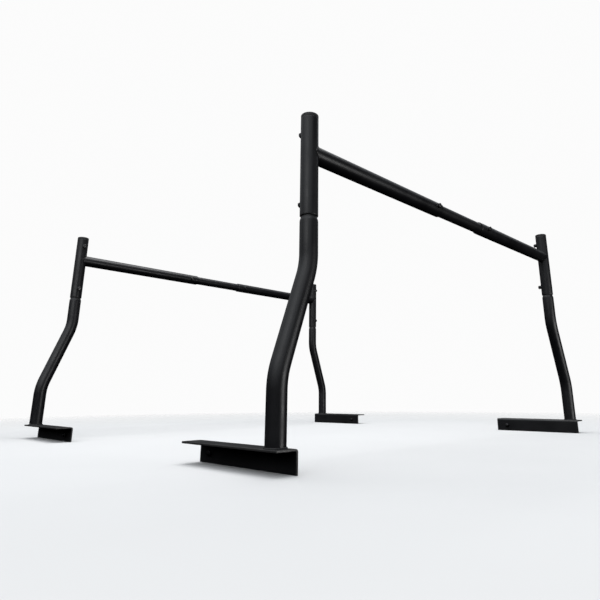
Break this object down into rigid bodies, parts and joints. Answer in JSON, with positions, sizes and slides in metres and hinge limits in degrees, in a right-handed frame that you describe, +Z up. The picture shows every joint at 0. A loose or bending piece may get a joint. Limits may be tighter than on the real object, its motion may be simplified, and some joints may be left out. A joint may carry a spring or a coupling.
{
  "type": "ladder rack",
  "caption": "Truck-bed ladder rack: separate steel tube frames on rail feet, with telescoping crossbars, sleeved posts and bolts that clamp their width and height.",
  "frame": {"origin": "centre of the bounding box's bottom, level with the lower edges of the foot flanges", "axes": "+X across the truck towards its right side, +Y along the bed towards the cab, +Z up"},
  "size_m": [1.629, 1.534, 0.832],
  "materials": {
    "foot": "satin black powder coat",
    "lower_post": "satin black powder coat",
    "upper_post": "satin black powder coat",
    "crossbar": "satin black powder coat",
    "centre_tube": "satin black powder coat with faint slide marks",
    "cap": "moulded black plastic",
    "bolt": "black zinc plated",
    "weld_nut": "powder coated with the tube",
    "nut": "black zinc plated"
  },
  "bodies": {
    "rear_left_base": {"rear_left_foot_plate": "foot", "rear_left_lower_post": "lower_post", "rear_left_flange_bolt": "bolt", "rear_left_flange_nut": "nut"},
    "rear_left_head": {"rear_left_upper_post": "upper_post", "rear_left_end_cap": "cap", "rear_left_height_bolt": "bolt", "rear_left_height_weld_nut": "weld_nut", "rear_left_tie_bolt": "bolt", "rear_left_tie_weld_nut": "weld_nut", "rear_left_crossbar_stub": "crossbar", "rear_left_width_bolt": "bolt", "rear_left_width_weld_nut": "weld_nut"},
    "rear_right_base": {"rear_right_foot_plate": "foot", "rear_right_lower_post": "lower_post", "rear_right_flange_bolt": "bolt", "rear_right_flange_nut": "nut"},
    "rear_right_head": {"rear_right_upper_post": "upper_post", "rear_right_end_cap": "cap", "rear_right_height_bolt": "bolt", "rear_right_height_weld_nut": "weld_nut", "rear_right_tie_bolt": "bolt", "rear_right_tie_weld_nut": "weld_nut", "rear_right_crossbar_stub": "crossbar", "rear_right_width_bolt": "bolt", "rear_right_width_weld_nut": "weld_nut"},
    "rear_bar": {"rear_centre_tube": "centre_tube"},
    "front_left_base": {"front_left_foot_plate": "foot", "front_left_lower_post": "lower_post", "front_left_flange_bolt": "bolt", "front_left_flange_nut": "nut"},
    "front_left_head": {"front_left_upper_post": "upper_post", "front_left_end_cap": "cap", "front_left_height_bolt": "bolt", "front_left_height_weld_nut": "weld_nut", "front_left_tie_bolt": "bolt", "front_left_tie_weld_nut": "weld_nut", "front_left_crossbar_stub": "crossbar", "front_left_width_bolt": "bolt", "front_left_width_weld_nut": "weld_nut"},
    "front_right_base": {"front_right_foot_plate": "foot", "front_right_lower_post": "lower_post", "front_right_flange_bolt": "bolt", "front_right_flange_nut": "nut"},
    "front_right_head": {"front_right_upper_post": "upper_post", "front_right_end_cap": "cap", "front_right_height_bolt": "bolt", "front_right_height_weld_nut": "weld_nut", "front_right_tie_bolt": "bolt", "front_right_tie_weld_nut": "weld_nut", "front_right_crossbar_stub": "crossbar", "front_right_width_bolt": "bolt", "front_right_width_weld_nut": "weld_nut"},
    "front_bar": {"front_centre_tube": "centre_tube"}
  },
  "joints": [
    {"name": "rear_left_height", "type": "slide", "parent": "rear_left_base", "child": "rear_left_head", "axis": [0, 0, 1], "range_m": [0, 0.125]},
    {"name": "rear_left_width", "type": "slide", "parent": "rear_left_head", "child": "rear_bar", "axis": [1, 0, 0], "range_m": [-0.075, 0.115]},
    {"name": "rear_right_width", "type": "slide", "parent": "rear_bar", "child": "rear_right_head", "axis": [1, 0, 0], "range_m": [-0.075, 0.115]},
    {"name": "rear_right_height", "type": "slide", "parent": "rear_right_head", "child": "rear_right_base", "axis": [0, 0, 1], "range_m": [-0.125, 0]},
    {"name": "front_left_height", "type": "slide", "parent": "front_left_base", "child": "front_left_head", "axis": [0, 0, 1], "range_m": [0, 0.125]},
    {"name": "front_left_width", "type": "slide", "parent": "front_left_head", "child": "front_bar", "axis": [1, 0, 0], "range_m": [-0.075, 0.115]},
    {"name": "front_right_width", "type": "slide", "parent": "front_bar", "child": "front_right_head", "axis": [1, 0, 0], "range_m": [-0.075, 0.115]},
    {"name": "front_right_height", "type": "slide", "parent": "front_right_head", "child": "front_right_base", "axis": [0, 0, 1], "range_m": [-0.125, 0]},
    {"name": "frame_spacing", "type": "slide", "parent": "rear_left_base", "child": "front_left_base", "axis": [0, 1, 0], "range_m": [-0.45, 0.45]}
  ],
  "couplings": [
    {"joint": "rear_right_height", "follows": "rear_left_height", "ratio": -1},
    {"joint": "front_right_height", "follows": "front_left_height", "ratio": -1}
  ]
}
